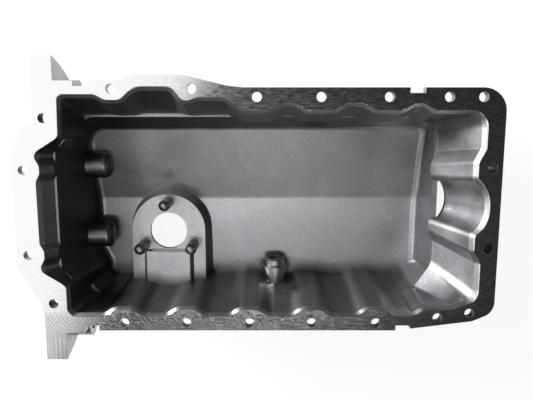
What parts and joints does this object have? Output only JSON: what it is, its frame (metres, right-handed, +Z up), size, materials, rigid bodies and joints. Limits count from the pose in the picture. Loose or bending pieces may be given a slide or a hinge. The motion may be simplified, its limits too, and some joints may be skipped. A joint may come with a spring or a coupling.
{
  "type": "engine oil pan",
  "caption": "Cast aluminium engine oil pan with a bolted gasket rail, gearbox flange, sensor bore, drain thread and ribbed underside.",
  "frame": {"origin": "underside of the pan, below the middle of its outline", "axes": "+X along the crankshaft from the gearbox end to the timing end, +Y to the side away from the drain, +Z up to the engine block"},
  "size_m": [0.418, 0.2658, 0.108],
  "materials": {
    "casting": "dark as-cast surface with a bright machined rail"
  },
  "bodies": {
    "root": {"oil_pan": "casting"}
  },
  "joints": []
}
